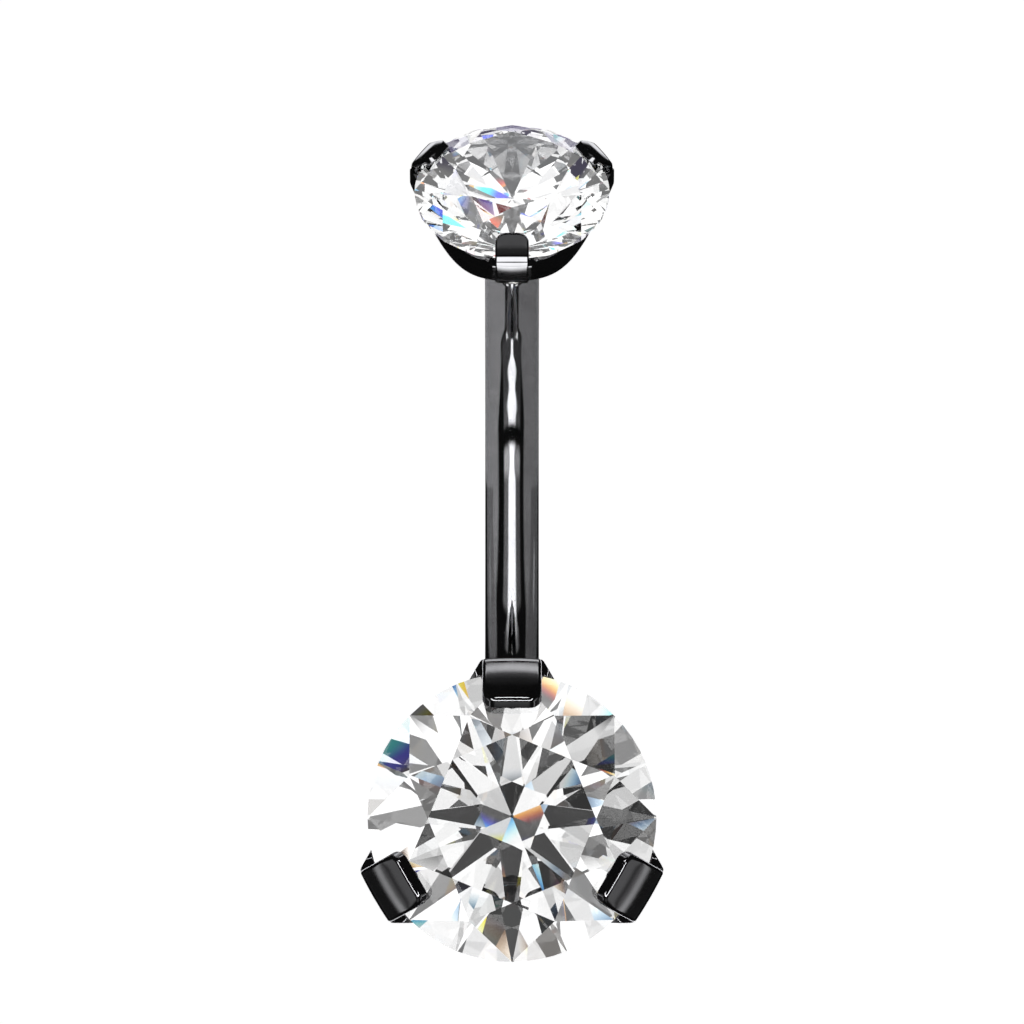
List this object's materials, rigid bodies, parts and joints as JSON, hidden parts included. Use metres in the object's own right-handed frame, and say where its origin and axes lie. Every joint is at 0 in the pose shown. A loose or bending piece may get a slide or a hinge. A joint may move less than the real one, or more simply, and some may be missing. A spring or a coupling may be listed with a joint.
{
  "type": "navel ring",
  "caption": "Curved barbell in black coated metal with a large round stone fixed at the lower end and a small round stone that unscrews at the upper end.",
  "frame": {"origin": "centre of the lower setting's flat back face, under the lower stone's culet", "axes": "+X across the stones, +Y from the lower stone along the bar to the upper stone, +Z along the lower stone's axis, out of its table"},
  "size_m": [0.0084, 0.0232, 0.0081],
  "materials": {
    "black_coat": "mirror-polished titanium with a black vapour coating",
    "bare_metal": "bright turned titanium",
    "stone": "clear faceted cubic zirconia"
  },
  "bodies": {
    "barbell": {"curved_bar": "black_coat", "lower_stone": "stone"},
    "top": {"upper_setting": "black_coat", "threaded_post": "bare_metal", "upper_stone": "stone"}
  },
  "joints": [
    {"name": "top_unscrews", "type": "slide", "parent": "barbell", "child": "top", "axis": [0, 0.7157, 0.6984], "range_m": [0, 0.003]}
  ]
}
